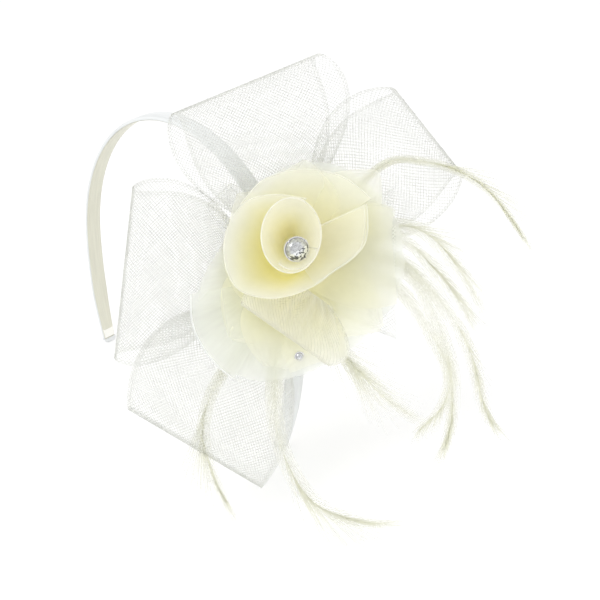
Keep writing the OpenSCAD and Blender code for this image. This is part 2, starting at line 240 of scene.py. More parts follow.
def fibre_material(name, colour, rough, through, show=(1.0, 1.0), uneven=0.06, scale=260):
    """Threads and barbs: fibres with a slightly uneven colour, lit through. show gives how
    solid they look where they are faintest and where they are clearest: the faint patches
    are partly uneven thread and partly painted highlight, standing in for patchy glints."""
    nodes = Nodes(name)
    ramp = nodes.add("ValToRGB")
    ramp.color_ramp.elements[0].position = 0.3
    ramp.color_ramp.elements[0].color = (*[c * (1 - uneven) for c in colour], 1)
    ramp.color_ramp.elements[1].position = 0.7
    ramp.color_ramp.elements[1].color = (*colour, 1)
    nodes.join(nodes.noise(scale), ramp.inputs["Fac"])
    nodes.join(ramp.outputs[0], nodes.shader.inputs["Base Color"])
    nodes.shader.inputs["Roughness"].default_value = rough
    nodes.shader.inputs["Sheen Weight"].default_value = 0.2
    glow = nodes.add("BsdfTranslucent")
    nodes.join(ramp.outputs[0], glow.inputs["Color"])
    lit = nodes.blend(through, nodes.shader.outputs[0], glow.outputs[0])
    # Noise patches where the fibres fade towards clear: partly uneven thread, partly painted
    # highlight for patchy glints.
    if show[0] < 1:
        clear = nodes.add("BsdfTransparent")
        lit = nodes.blend(nodes.spread(nodes.noise(70, 2), *show), clear.outputs[0], lit)
    nodes.join(lit, nodes.output.inputs["Surface"])
    return nodes.mat


def felt_material(name, colour):
    """Pressed felt: short matted fibres in every direction."""
    nodes = Nodes(name)
    fine = nodes.noise(1400, 6)
    coarse = nodes.noise(300, 5)
    pile = nodes.number("ADD", nodes.number("MULTIPLY", coarse, 0.6), fine)
    shade = nodes.spread(nodes.number("MULTIPLY", pile, 0.62), 0.90, 1.02)
    tone = nodes.add("RGB")
    tone.outputs[0].default_value = (*colour, 1)
    nodes.join(nodes.times(tone.outputs[0], shade), nodes.shader.inputs["Base Color"])
    nodes.relief(pile, 0.9, 0.25)
    nodes.shader.inputs["Roughness"].default_value = 0.95
    nodes.shader.inputs["Sheen Weight"].default_value = 0.5
    return nodes.mat


def satin_material(name, colour, rough, pitch_mm=0.3):
    """Satin ribbon: fine floats across it and soft pulls along it, with a silky shine."""
    nodes = Nodes(name)
    pulls = nodes.noise(1.0, 3, (60, 900))
    tone = nodes.add("RGB")
    tone.outputs[0].default_value = (*colour, 1)
    nodes.join(nodes.times(tone.outputs[0], nodes.spread(pulls, 0.93, 1.03)),
               nodes.shader.inputs["Base Color"])
    weave = nodes.number("MULTIPLY", weave_height(nodes, pitch_mm), 0.3)
    nodes.relief(nodes.number("ADD", weave, pulls), 0.35, 0.12)
    nodes.shader.inputs["Roughness"].default_value = rough
    nodes.shader.inputs["Sheen Weight"].default_value = 0.3
    nodes.shader.inputs["Anisotropic"].default_value = 0.5
    return nodes.mat


# ---------------------------------------------------------------- flower frame
# The band's outer line, as in part.scad
OUTER_HALF, OUTER_RISE, LEG_LEN, TIP_INSET = 67.2, 80.2, 57.0, 8.0
FLOWER_Z, LEG_TWIST, FLOWER_ROLL = 93.0, 30.0, -14.0
ARC_STEPS, LEG_STEPS = 16, 6
LAST_STEP = ARC_STEPS + LEG_STEPS


def band_point(k):
    """Point on the band's outer face, k steps from the crown, in mm."""
    k = np.asarray(k, float)
    leg = np.maximum(0, (np.abs(k) - ARC_STEPS) / LEG_STEPS)
    turn = np.radians(90 * np.minimum(np.abs(k), ARC_STEPS) / ARC_STEPS)
    x = np.sign(k) * (OUTER_HALF * np.sin(turn) - TIP_INSET * leg ** 2)
    z = LEG_LEN * (1 - leg) + OUTER_RISE * np.cos(turn)
    return np.stack([x, np.zeros_like(x), z], -1)


def unit(v):
    return v / np.maximum(np.linalg.norm(v, axis=-1, keepdims=True), 1e-9)


def band_axes(k):
    """Outward and across directions of the band's section at each step k."""
    ahead = band_point(np.minimum(k + 0.5, LAST_STEP))
    behind = band_point(np.maximum(k - 0.5, -LAST_STEP))
    along = unit(ahead - behind)
    out = np.stack([-along[..., 2], 0 * along[..., 0], along[..., 0]], -1)
    ease = np.clip(k / ARC_STEPS, 0, 1)
    turn = np.radians(LEG_TWIST * ease * ease * (3 - 2 * ease))[..., None]
    back = np.array([0.0, 1.0, 0.0])
    return np.cos(turn) * out - np.sin(turn) * back, np.cos(turn) * back + np.sin(turn) * out


def flower_matrix():
    k = np.array(ARC_STEPS * math.degrees(math.acos((FLOWER_Z - LEG_LEN) / OUTER_RISE)) / 90)
    along = unit(band_point(k + 0.5) - band_point(k - 0.5))
    tilt = math.atan2(along[0], -along[2])
    turn = Matrix.Rotation(math.pi / 2 - tilt, 4, "Y") @ Matrix.Rotation(math.pi / 2, 4, "Z")
    turn = turn @ Matrix.Rotation(-math.radians(LEG_TWIST), 4, "Y")
    turn = turn @ Matrix.Rotation(math.radians(FLOWER_ROLL), 4, "Z")
    return Matrix.Translation(Vector(band_point(k))) @ turn


FLOWER = np.array(flower_matrix())


def put(points):
    """Flower-frame millimetres to row-frame metres."""
    points = np.asarray(points, float)
    return (points @ FLOWER[:3, :3].T + FLOWER[:3, 3]) * MM


# ---------------------------------------------------------------- meshes
def make_piece(name, verts, faces, material, deep=None, uv=None, smooth=True):
    """Mesh object from points in metres and an array of same-sized faces."""
    verts = np.asarray(verts, np.float32).reshape(-1, 3)
    faces = np.asarray(faces, np.int32)
    count, size = faces.shape
    mesh = bpy.data.meshes.new(name)
    mesh.vertices.add(len(verts))
    mesh.vertices.foreach_set("co", verts.ravel())
    mesh.loops.add(count * size)
    mesh.loops.foreach_set("vertex_index", faces.ravel())
    mesh.polygons.add(count)
    mesh.polygons.foreach_set("loop_start", np.arange(0, count * size, size, dtype=np.int32))
    mesh.update(calc_edges=True)
    mesh.polygons.foreach_set("use_smooth", np.full(count, smooth))
    if deep is not None:
        # The "deep" values carry painted shade on the cloths and painted reflections on the
        # crystals.
        layer = mesh.attributes.new("deep", "FLOAT", "POINT")
        layer.data.foreach_set("value", np.asarray(deep, np.float32).ravel())
    if uv is not None:
        layer = mesh.uv_layers.new(name="cloth")
        corners = np.asarray(uv, np.float32).reshape(-1, 2)[faces.ravel()]
        layer.data.foreach_set("uv", corners.ravel())
    mesh.materials.append(material)
    piece = bpy.data.objects.new(name, mesh)
    bpy.context.scene.collection.objects.link(piece)
    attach(piece, "root")
    return piece


def grid_faces(rows, cols, wrap=False):
    i = np.arange(rows if wrap else rows - 1)[:, None]
    j = np.arange(cols - 1)[None, :]
    a, b = i * cols + j, ((i + 1) % rows) * cols + j
    return np.stack([a, b, b + 1, a + 1], -1).reshape(-1, 4)


def cloth_metres(grid):
    """Each point's place along and across the cloth, in metres, from its middle lines."""
    rows, cols = grid.shape[:2]
    down = np.linalg.norm(np.diff(grid[:, cols // 2], axis=0), axis=1)
    over = np.linalg.norm(np.diff(grid[rows // 2], axis=0), axis=1)
    u = np.concatenate([[0], np.cumsum(down)])[:, None] + np.zeros((1, cols))
    v = np.concatenate([[0], np.cumsum(over)])[None, :] + np.zeros((rows, 1))
    return np.stack([u, v], -1) * MM


def make_sheet(name, grid, material, deep=None, wrap=False):
    rows, cols = grid.shape[:2]
    if deep is None:
        deep = np.zeros((rows, cols))
    return make_piece(name, put(grid), grid_faces(rows, cols, wrap), material, deep,
                      cloth_metres(grid))


def tube_mesh(paths, radii, sides):
    """Points and faces of many thin tubes. Each radius is a number or one per point."""
    verts, faces, start = [], [], 0
    turns = np.arange(sides) * 2 * np.pi / sides
    for path, radius in zip(paths, radii):
        n = len(path)
        along = unit(np.gradient(path, axis=0))
        hint = np.array([0.0, 0.0, 1.0]) if abs(along[:, 2].mean()) < 0.8 else np.array([1.0, 0, 0])
        a = unit(np.cross(along, hint))
        b = np.cross(along, a)
        radius = np.broadcast_to(radius, n)[:, None, None]
        ring = path[:, None] + radius * (
            a[:, None] * np.cos(turns)[None, :, None] + b[:, None] * np.sin(turns)[None, :, None])
        verts.append(ring.reshape(-1, 3))
        i = np.arange(n - 1)[:, None] * sides
        j = np.arange(sides)[None, :]
        k = (j + 1) % sides
        quads = np.stack([i + j, i + k, i + sides + k, i + sides + j], -1)
        faces.append(quads.reshape(-1, 4) + start)
        start += n * sides
    return np.concatenate(verts), np.concatenate(faces)


def make_tubes(name, paths, radii, material, sides=3):
    verts, faces = tube_mesh(paths, radii, sides)
    return make_piece(name, put(verts), faces, material)


def sample(grid, row, col):
    """Points of a grid at fractional rows and columns."""
    n, m = grid.shape[:2]
    row, col = np.clip(row, 0, n - 1.001), np.clip(col, 0, m - 1.001)
    i, j = row.astype(int), col.astype(int)
    f, g = (row - i)[..., None], (col - j)[..., None]
    return ((grid[i, j] * (1 - f) + grid[i + 1, j] * f) * (1 - g)
            + (grid[i, j + 1] * (1 - f) + grid[i + 1, j + 1] * f) * g)


def even_rows(grid, step):
    """The same surface with its rows spaced evenly along its middle column."""
    middle = grid[:, grid.shape[1] // 2]
    run = np.concatenate([[0], np.cumsum(np.linalg.norm(np.diff(middle, axis=0), axis=1))])
    count = int(run[-1] / step) + 2
    rows = np.interp(np.linspace(0, run[-1], count), run, np.arange(len(run)))
    cols = np.arange(grid.shape[1])
    return sample(grid, rows[:, None] + 0 * cols, cols[None, :] + 0 * rows[:, None]), run[-1]


def curve(points, u):
    """Smooth curve through a few points, as in part.scad; runs straight on past its ends."""
    p = np.asarray(points, float)
    n = len(p) - 1
    u = np.asarray(u, float)
    s = np.clip(u * n, 0, n - 1e-4)
    i = s.astype(int)
    f = (s - i)[..., None]
    a, b, c, d = p[np.maximum(i - 1, 0)], p[i], p[i + 1], p[np.minimum(i + 2, n)]
    inside = 0.5 * (2 * b + (c - a) * f + (2 * a - 5 * b + 4 * c - d) * f ** 2
                    + (3 * b - a - 3 * c + d) * f ** 3)
    return inside + np.maximum(u - 1, 0)[..., None] * (p[-1] - p[-2]) * n


# ---------------------------------------------------------------- crin
CRIN_W = 76.0  # widest ribbon
TAIL_W = 62.0
CRIN_PITCH = 1.1
THREAD_R = 0.1
THREAD_STEP = 2.0  # between a thread's points
THREAD_LIFT = 0.1  # of the two families, to either side of the cloth
SELVEDGE = (0, 0.008, 0.02, 0.98, 0.992, 1)  # its cords, as shares of the width
LAYER_GAP = 0.7
FOLD_BAND = 2.4
# As in part.scad: base, half width there, fold ends, opening, bow of the edges, skew
LOOPS = {
    "crin_loop_top": ((-3, 21, 5), 8, (-46, 66, 16), (13, 86, 10), (3, 8), (2, 6), 3),
    "crin_loop_left": ((-17, 2, 5), 8, (-73, -29, 14), (-63, 38, 16), (5, 4), (2, 2), -2),
    "crin_loop_lower": ((-11, -17, 5), 8, (-16, -88, 16), (-69, -49, 19), (4, 8), (4, 8), 2),
    "crin_loop_right": ((14, 16, 4.6), 7, (44, 71, 10), (72, 36, 9), (5, 3), (9, 7), 2),
    "crin_small_loop": ((-13, 15, 8.4), 4, (-33, 29, 10), (-24, 37, 11), (1.5, 1.5), (1, 1), 1),
    "crin_petal": ((8, -9, 14.5), 9, (12, -38, 19), (-23, -10, 20.5), (1.2, 1.2), (6, 2), 0),
}


def loop_grid(base, half, p1, p2, crown, bulge, skew, rows=120, cols=41):
    base, p1, p2 = (np.array(p, float) for p in (base, p1, p2))
    full = np.linalg.norm((p1 - p2)[:2]) / 2
    c = np.array([*(p1 - p2)[:2], 0]) / (2 * full)
    q = np.linspace(0, 1, rows)[:, None]
    v = np.linspace(0, 1, cols)[None, :]
    r = np.clip(np.sin(np.pi * q), 0, 1) ** 0.75
    opening = np.sin(2 * np.pi * q)
    spread = half + (full - half) * (1 - (1 - r) ** 2.5)
    bow = (1 - v) ** 2 * bulge[0] - v ** 2 * bulge[1]
    side = spread * (1 - 2 * v) + bow * 4 * r * (1 - r) - skew * opening
    flat = base * (1 - r)[..., None] + (p1 + p2) / 2 * r[..., None] + c * side[..., None]
    high = base[2] + (p1[2] * (1 - v) + p2[2] * v - base[2]) * r ** 2
    high = high + (crown[0] * (1 - v) + crown[1] * v) * opening + LAYER_GAP * np.cos(np.pi * q)
    pleats = 0.9 * (1 - r) ** 1.5 * np.minimum(1, 8 * r) * np.cos(2 * np.pi * 6 * v + 1)
    flat[..., 2] = high + pleats
    return flat


def braid(grid, length, width):
    """Two families of slanting threads and the selvedge cords of a crin ribbon."""
    rows, cols = grid.shape[:2]
    normal = unit(np.cross(np.gradient(grid, axis=0), np.gradient(grid, axis=1)))
    paths = []
    step = CRIN_PITCH * math.sqrt(2)
    for way in (1, -1):
        for start in np.arange(-width, length, step):
            begin, end = max(0, -start), min(width, length - start)
            if end - begin < 2 * THREAD_STEP:
                continue
            t = np.linspace(begin, end, int((end - begin) / THREAD_STEP) + 2)
            wander = rng.normal(0, 0.08)
            row = (start + t + wander) / length * (rows - 1)
            col = (t if way > 0 else width - t) / width * (cols - 1)
            paths.append(sample(grid, row, col) + way * THREAD_LIFT * sample(normal, row, col))
    row = np.linspace(0, rows - 1, int(length / THREAD_STEP))
    for edge in SELVEDGE:
        paths.append(sample(grid, row, 0 * row + edge * (cols - 1)))
    return paths


def fold_threads(grid, length, width):
    """Threads that crowd together along the outer fold of a loop."""
    rows, cols = grid.shape[:2]
    col = np.linspace(0, cols - 1, 40)
    wobble = 0.5 * np.sin(col * 0.9)
    paths = []
    band = FOLD_BAND * min(1, width / 60)
    for off in np.linspace(-band, band, 3 + 2 * int(2 * band)):
        row = (rows - 1) * (0.5 + (off + wobble * rng.random()) / length)
        paths.append(sample(grid, row, col))
    return paths


def make_crin(name, raw, width, looks):
    """One crin piece: a faint film that stands for the cloth, and its real threads."""
    net, thread = looks
    grid, length = even_rows(raw, 1.5)
    film = make_sheet(name + "_film", grid, net)
    paths = braid(grid, length, width)
    if name in LOOPS:
        paths += fold_threads(grid, length, width)
    threads = make_tubes(name + "_threads", paths, [THREAD_R] * len(paths), thread)
    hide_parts(name)


def tail_grid(rows=60, cols=61):
    """The ribbon's cut end, gathered to the middle and laid out flat to the side."""
    s = np.linspace(0, 1, rows)[:, None]
    v = np.linspace(-1, 1, cols)[None, :]
    w = 14 + 17 * s ** 0.8
    x = 11 + 31 * s + 0 * v
    z = 10.2 + 4.8 * s + 1.2 * np.sin(np.pi * s) * np.cos(np.pi * v / 2)
    pleats = 1.1 * (1 - s) * np.cos(18 * v)
    return np.stack([x, 1 + v * w, z + pleats + 0.5 * s * np.sin(5 * v)], -1)


def make_all_crin():
    white, cream, fibre = (0.98, 0.98, 0.96), (0.99, 0.985, 0.93), (0.97, 0.975, 0.95)
    net = cloth_material("crin_film", white, white, 0.04, 0.5)
    thread = fibre_material("crin_thread", fibre, 0.3, 0.55, show=(0.5, 0.95))
    cream_net = cloth_material("crin_petal_film", cream, cream, 0.45, 0.6)
    cream_thread = fibre_material("crin_petal_thread", (0.995, 0.99, 0.93), 0.3, 0.65,
                                  show=(0.22, 0.46))
    faint_thread = fibre_material("crin_small_thread", fibre, 0.3, 0.55, show=(0.1, 0.24))
    looks = {"crin_petal": (cream_net, cream_thread), "crin_small_loop": (net, faint_thread)}
    for name, spec in LOOPS.items():
        raw = loop_grid(*spec)
        fold = raw[raw.shape[0] // 2]
        width = min(CRIN_W, np.linalg.norm(fold[0] - fold[-1]) * 1.06)
        make_crin(name, raw, width, looks.get(name, (net, thread)))
    make_crin("crin_tail", tail_grid(), TAIL_W, (net, thread))


# ---------------------------------------------------------------- tulle frill
FRILL_R, FRILL_WAVES = 41.5, 17
FRILL_HOLE = 15


def frill_grid(inner, low, lean, phase, rows=340, cols=16):
    a = np.linspace(0, 2 * np.pi, rows, endpoint=False)[:, None]
    s = np.linspace(0, 1, cols)[None, :]
    edge = FRILL_R + 5 * np.cos(a + np.radians(41)) + 5 * np.cos(2 * (a - np.radians(51)))
    edge = edge + 2 * np.cos(3 * (a + np.radians(20))) + 0.6 * np.sin(FRILL_WAVES * a + phase)
    r = inner + (edge - inner) * s
    swell = 0.55 + 0.45 * np.sin(3 * a + 2 * phase)
    waves = (0.2 + 1.1 * s) * swell * np.sin(FRILL_WAVES * a + phase)
    creases = 0.25 * s * swell * np.sin(31 * a + phase)
    wave = 0.55 * (waves + creases) + 0.7 * s * np.sin(7 * a + 2 * phase)
    return np.stack([r * np.cos(a), 2 + r * np.sin(a), low + lean * s + wave], -1)


# Folded corner of the tulle that stands out at the lower front: its fold, from top to bottom
TULLE_FOLD = [(-42, -5, 16), (-42, -16, 17), (-39, -25, 17.5), (-33, -34, 17.5), (-26, -41, 16.5)]


def fold_grid(depth, rows=40, cols=14):
    """A flap from near the stem out to the fold."""
    edge = curve(TULLE_FOLD, np.linspace(0, 1, rows))
    foot = np.array([-8.0, -6.0, 9.5]) + 0.2 * (edge - edge.mean(0))
    s = np.linspace(0, 1, cols)[None, :, None]
    grid = foot[:, None] * (1 - s) + edge[:, None] * s
    grid[..., 2] += depth * np.sin(np.pi * s[..., 0])
    return grid


def make_frill():
    net = cloth_material("tulle_net", (0.95, 0.96, 0.92), (0.955, 0.955, 0.79), 0.58, 0.6,
                         fade=0.35, streak=(400, 60), uneven=0.07)
    edge = fibre_material("tulle_edge", (0.98, 0.99, 0.98), 0.4, 0.4)
    layers = {"tulle_frill_under": frill_grid(FRILL_HOLE, 8.2, 5.5, 0.0),
              "tulle_frill_upper": frill_grid(FRILL_HOLE, 9.2, 6.5, 1.9),
              "tulle_frill_soft": frill_grid(FRILL_HOLE, 9.8, 5.0, 4.1)}
    for name, grid in layers.items():
        # Painted shade: the tulle takes the deep yellow towards its middle, under the flower.
        deep = 1 - np.linspace(0, 1, grid.shape[1])[None, :] + 0 * grid[..., 0]
        piece = make_sheet(name, grid, net, deep, wrap=True)
        if name == "tulle_frill_upper":
            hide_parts("tulle_frill")
    for name, depth in (("tulle_fold_front", 1.6), ("tulle_fold_back", 0.4)):
        grid = fold_grid(depth)
        flap = make_sheet(name, grid, net, np.zeros(grid.shape[:2]))
        pieces = []
        if name == "tulle_fold_front":
            pieces = [make_tubes(name + "_edge", [grid[:, -1]], [0.35], edge, sides=6)]


# ---------------------------------------------------------------- organza petals
# As in part.scad: direction, reach, half width, end (1 pointed, 0 round, -1 square)
LEAVES = [(47, 50, 18, 0.3), (3, 40.5, 24, -0.8), (-38, 45, 17, 0.7), (-78, 41, 15, -0.8),
          (-104, 41, 18, -0.2), (-135, 38, 17, 0), (172, 29, 15, 0), (84, 43, 17, 0.2),
          (27, 46, 16, 0.6), (126, 38, 15, 0.2)]
LEAF_START = 8


def leaf_grid(turn, reach, half, end, low, rows=48, cols=29):
    phase = turn / 20
    turn = math.radians(turn)
    s = np.linspace(0, 1, rows)[:, None]
    v = np.linspace(-1, 1, cols)[None, :]
    d = LEAF_START + (reach - LEAF_START) * s
    rounded = np.sin(np.radians(20 + 158 * s)) ** 0.8
    pointed = (1 - s) ** 1.1 * (0.4 + 2.6 * s) + 0.04
    square = 0.45 + 0.55 * s ** 0.7
    side = v * half * (rounded * (1 - abs(end)) + pointed * max(end, 0) - square * min(end, 0))
    x = d * math.cos(turn) - side * math.sin(turn)
    y = 3 + d * math.sin(turn) + side * math.cos(turn)
    ripple = 0.5 * s * np.sin(5 * v + 3 * s + phase) + 0.25 * s * np.sin(13 * v + 2 * phase)
    return np.stack([x, y, low + 4.5 * s ** 1.4 + 2 * v ** 2 * s + ripple], -1)


def edge_paths(grid):
    """The two side edges and the far edge of a sheet, as one path."""
    return [np.concatenate([grid[:, 0], grid[-1, 1:-1], grid[::-1, -1]])]


def make_petal(name, grid, cloth, deep, rim=None, closed=False):
    """A sheet of organza and, if rim gives its material, the sealed rim of its open edge."""
    sheet = make_sheet(name, grid, cloth, deep, wrap=closed)
    pieces = []
    if rim:
        path = [np.concatenate([grid[:, -1], grid[:1, -1]])] if closed else edge_paths(grid)
        pieces = [make_tubes(name + "_rim", path, [ROSE_RIM_R], rim, sides=6)]
    return sheet


def make_leaves():
    cloth = cloth_material("leaf_organza", (0.975, 0.972, 0.88), (0.985, 0.96, 0.72), 0.8, 0.65,
                           fade=0.45, uneven=0.02)
    for n, (turn, reach, half, end) in enumerate(LEAVES, 1):
        grid = leaf_grid(turn, reach, half, end, 11.6 + 0.9 * (n % 3))
        s = np.linspace(0, 1, grid.shape[0])[:, None]
        v = np.linspace(-1, 1, grid.shape[1])[None, :]
        # Painted shade: the deep colour grows towards each leaf's foot under the rose, most along
        # its middle.
        piece = make_petal(f"leaf_{n}_organza", grid, cloth,
                           (1 - s) ** 0.8 * (1 - 0.4 * v ** 2))
        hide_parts(f"leaf_{n}")


# ---------------------------------------------------------------- rose
ROSE_FOOT = np.array([0.0, 9.0, 13.0])
OUTER_RIM = [(4, 31, 22), (-9, 33.5, 23), (-20, 31.5, 23), (-27, 23, 23.5), (-29.5, 14, 24),
             (-28.5, 4.5, 24.5), (-24, -3, 25), (-14, -6.7, 25), (-4, -6.4, 25), (6.4, -3.3, 24),
             (14, 1.2, 23), (21.5, 5.4, 22), (27, 10.5, 21), (29, 17, 20.5), (29, 27, 19.5)]
BACK_RIM = [(31, 29, 18.6), (20, 38, 18.6), (4, 42, 18.6), (-12, 39, 19.6), (-22, 30, 20.6)]
CONE_TOP = np.array([-5.0, 19.0, 34.0])
ROSE_RIM_R = 0.28
THROAT_R = 7.2  # of the petals' gathered feet
# How much of the deep yellow, painted shade, each petal takes towards its foot
ROSE_PAINTED_SHADE = {"rose_back_petal": 0.35, "rose_outer_petal": 1.0, "rose_outer_petal_lining": 0.1,
             "rose_cone": 0.04, "rose_heart": 0.15}


def petal_grid(rim, start, end, foot_r, rise, rows=110, cols=30):
    u = np.linspace(0, 1, rows)
    edge = curve(rim, u)
    a = np.radians(start + (end - start) * u)
    foot = ROSE_FOOT + foot_r * np.stack([np.cos(a), np.sin(a), 0 * a], -1)
    s = np.linspace(0, 1, cols)[None, :, None]
    grid = foot[:, None] * (1 - s) + edge[:, None] * s
    grid[..., 2] = (foot[:, None, 2] + (edge[:, None, 2] - foot[:, None, 2]) * s[..., 0] ** rise
                    + 0.35 * s[..., 0] * np.sin(14 * u + 1)[:, None])
    return grid


def cone_grid(rows=72, cols=26):
    a = np.linspace(0, 2 * np.pi, rows, endpoint=False)[:, None]
    s = np.linspace(0, 1, cols)[None, :]
    flare = s ** 0.8
    foot = ROSE_FOOT + np.array([0, 2, 0])
    middle = foot * (1 - s[..., None]) + CONE_TOP * s[..., None]
    grid = np.repeat(middle, rows, 0)
    grid[..., 0] += (3.6 + 8.2 * flare) * np.cos(a)
    grid[..., 1] += (3.6 + 11 * flare) * np.sin(a)
    return grid


def heart_grid(rows=50, cols=20):
    a = np.radians(np.linspace(222, 352, rows))[:, None]
    s = np.linspace(0, 1, cols)[None, :]
    r = 5 + 3.9 * s ** 0.8
    return np.stack([-1 - 2.3 * s + r * np.cos(a), 12 + 2.2 * s + r * np.sin(a),
                     18 + 14 * s + 0 * a], -1)


def throat_grid(rows=72, cols=10):
    """The petals' feet, gathered into a closed floor under the cone and the bowl."""
    a = np.linspace(0, 2 * np.pi, rows, endpoint=False)[:, None]
    s = np.linspace(0, 1, cols)[None, :]
    r = 0.2 + (THROAT_R - 0.2) * s
    pleats = 0.12 * s * np.sin(14 * a)
    return np.stack([r * np.cos(a), 11 - 2 * s + r * np.sin(a), 12.9 + pleats], -1)


def make_throat(cloth):
    grid = throat_grid()
    # The floor takes most of the deep yellow all over: painted shade at the bottom of the bowl.
    floor = make_sheet("rose_throat_organza", grid, cloth,
                       np.full(grid.shape[:2], 0.85), wrap=True)


def make_rose():
    # The deep yellow painted as shade towards the petals' feet and inside the bowl.
    painted_shade_yellow = (0.985, 0.9, 0.33)
    cloth = cloth_material("rose_organza", (0.975, 0.97, 0.88), painted_shade_yellow, 0.8, 0.6, uneven=0.02)
    # A darker copy of the rose organza for the cone and heart inside the bowl: painted shade.
    shaded_cloth = cloth_material("rose_cone_organza", (0.92, 0.915, 0.83), painted_shade_yellow, 0.8, 0.75,
                                uneven=0.02)
    rim = fibre_material("rose_rim", (0.99, 0.985, 0.92), 0.4, 0.5, show=(0.5, 0.9))
    inner_rim = [np.array(p) * (0.96, 0.96, 1) + (0, 0.3, 0.4) for p in OUTER_RIM[9:]]
    make_throat(cloth)
    parts = {
        "rose_back_petal": petal_grid(BACK_RIM, 24, 146, 9, 1.2),
        "rose_outer_petal": petal_grid(OUTER_RIM, 80, 420, 7, 1.4),
        "rose_outer_petal_lining": petal_grid(inner_rim, 299, 420, 6.4, 1.4),
        "rose_cone": cone_grid(),
        "rose_heart": heart_grid(),
    }
    for name, grid in parts.items():
        s = np.linspace(0, 1, grid.shape[1])[None, :] + 0 * grid[..., 0]
        # Painted shade: deep yellow growing towards each petal's foot.
        deep = ROSE_PAINTED_SHADE[name] * np.minimum(1, 1.3 * (1 - s) ** 1.6)
        if name == "rose_outer_petal":
            u = np.linspace(0, 1, grid.shape[0])[:, None]
            # Painted shade along the outer petal's run: strongest part way round, fading towards
            # its end.
            shade = np.interp(u, [0.3, 0.45, 0.55, 0.66, 0.8], [0.9, 1.2, 1.6, 0.9, 0.4])
            deep = np.minimum(1, deep ** 0.8 * shade)
        if name == "rose_cone":
            # The cone takes some painted shade all over as well.
            deep = 0.13 + deep
        look = shaded_cloth if name in ("rose_cone", "rose_heart") else cloth
        piece = make_petal(name + "_organza", grid, look, deep, rim,
                           closed=name == "rose_cone")
        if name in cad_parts:
            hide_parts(name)


# ---------------------------------------------------------------- crystals
CRYSTAL_AT, CRYSTAL_D = np.array([-1.0, 11.8, 25.6]), 9.2
SMALL_AT, SMALL_D = np.array([0.6, -33.3, 18.4]), 3.0


def ring(radius, z, count, shift=0.0):
    a = (np.arange(count) + shift) * 2 * np.pi / count
    return np.stack([radius * np.cos(a), radius * np.sin(a), np.full(count, z)], -1)


def gem_mesh(d, sides=20):
    """Round stone: rings of small facets over the table and crown, and a short foiled back."""
    rings = [(0.16, 0.19), (0.34, 0.2), (0.52, 0.19), (0.7, 0.15), (0.86, 0.085), (1, 0.015),
             (1, -0.015)]
    verts = [ring(share * d / 2, high * d, sides, 0.5 * n) for n, (share, high) in enumerate(rings)]
    verts = np.concatenate([*verts, [[0, 0, -0.22 * d], [0, 0, 0.2 * d]]])
    tip, centre = len(verts) - 2, len(verts) - 1
    last = tip - sides
    tris = []
    for i in range(sides):
        j = (i + 1) % sides
        tris += [(centre, i, j), (last + i, tip, last + j)]
        for start in range(0, last, sides):
            end = start + sides
            tris += [(start + i, end + i, start + j), (end + i, end + j, start + j)]
    return verts, np.array(tris)


def crystal_material():
    nodes = Nodes("crystal_facets")
    # Each facet's tone, kept in the "deep" values, is a painted reflection: from a painted dark
    # reflection to a painted bright glint.
    tone = nodes.add("Attribute", attribute_name="deep")
    ramp = nodes.add("ValToRGB")
    ramp.color_ramp.elements[0].color = (0.06, 0.065, 0.07, 1)
    ramp.color_ramp.elements[1].color = (0.92, 0.94, 0.96, 1)
    nodes.join(tone.outputs["Fac"], ramp.inputs["Fac"])
    nodes.join(ramp.outputs[0], nodes.shader.inputs["Base Color"])
    nodes.shader.inputs["Roughness"].default_value = 0.12
    nodes.shader.inputs["Metallic"].default_value = 0.6
    nodes.shader.inputs["Coat Weight"].default_value = 1
    return nodes.mat


def painted_facet_reflections(verts, tris, d):
    """Painted reflections on the facets: mid greys of random strength on most, and on the lower
    ones a random mix of dark reflections and bright glints.
    """
    middle = verts[tris].mean(1) / d
    glint_draw = rng.random(len(tris))
    lower = 0.5 * middle[:, 0] - middle[:, 1] > 0.03
    return np.where(lower, 0.1 + 0.9 * (glint_draw > 0.35), 0.32 + 0.4 * glint_draw)


def make_crystals():
    facets = crystal_material()
    for name, at, d in (("crystal", CRYSTAL_AT, CRYSTAL_D), ("small_crystal", SMALL_AT, SMALL_D)):
        verts, tris = gem_mesh(d)
        split = verts[tris].reshape(-1, 3) + at
        # Painted reflection tones, one for each facet's corners.
        tone = np.repeat(painted_facet_reflections(verts, tris, d), 3)
        gem = make_piece(name + "_gem", put(split), np.arange(len(split)).reshape(-1, 3),
                         facets, tone, smooth=False)
        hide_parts(name)
    silver = plain_material("silver_cup", (0.8, 0.8, 0.82), 0.2, 1.0)
    for name in ("crystal_cup", "small_cup"):
        dress(name, silver)


# ---------------------------------------------------------------- feathers
FEATHERS = [
    [(16, 21, 8.6), (38, 41, 12), (54, 42, 14), (71, 36, 17), (84, 25, 19), (97, 7, 20)],
    [(19, 12, 8.6), (44, 16, 12), (57, 11, 17), (68, -3, 20), (77, -19, 20)],
    [(19, 10, 8.6), (44, 11, 13), (57, -1, 18), (66, -13, 20), (74, -26, 20)],
    [(19, 8, 8.6), (45, 2, 13), (62, -17, 16), (73, -38, 18), (78, -60, 20), (85, -74, 20)],
    [(19, 6, 8.6), (45, -1, 13), (58, -21, 17), (64, -45, 20), (63, -66, 22), (58, -80, 24)],
    [(18, 4, 8.6), (42, -8, 13), (56, -29, 20), (62, -45, 24), (57, -57, 28), (46, -65, 30)],
    [(5, -19, 8.6), (20, -35, 11), (33, -51, 20), (48, -62, 26)],
    [(-5, -20, 8.6), (-9, -42, 14), (-10, -66, 26), (0, -88, 34), (18, -98, 38), (37, -100, 40)],
    [(-9, -19, 8.6), (-31, -41, 12), (-39, -60, 16), (-37, -78, 20), (-29, -97, 22)]]
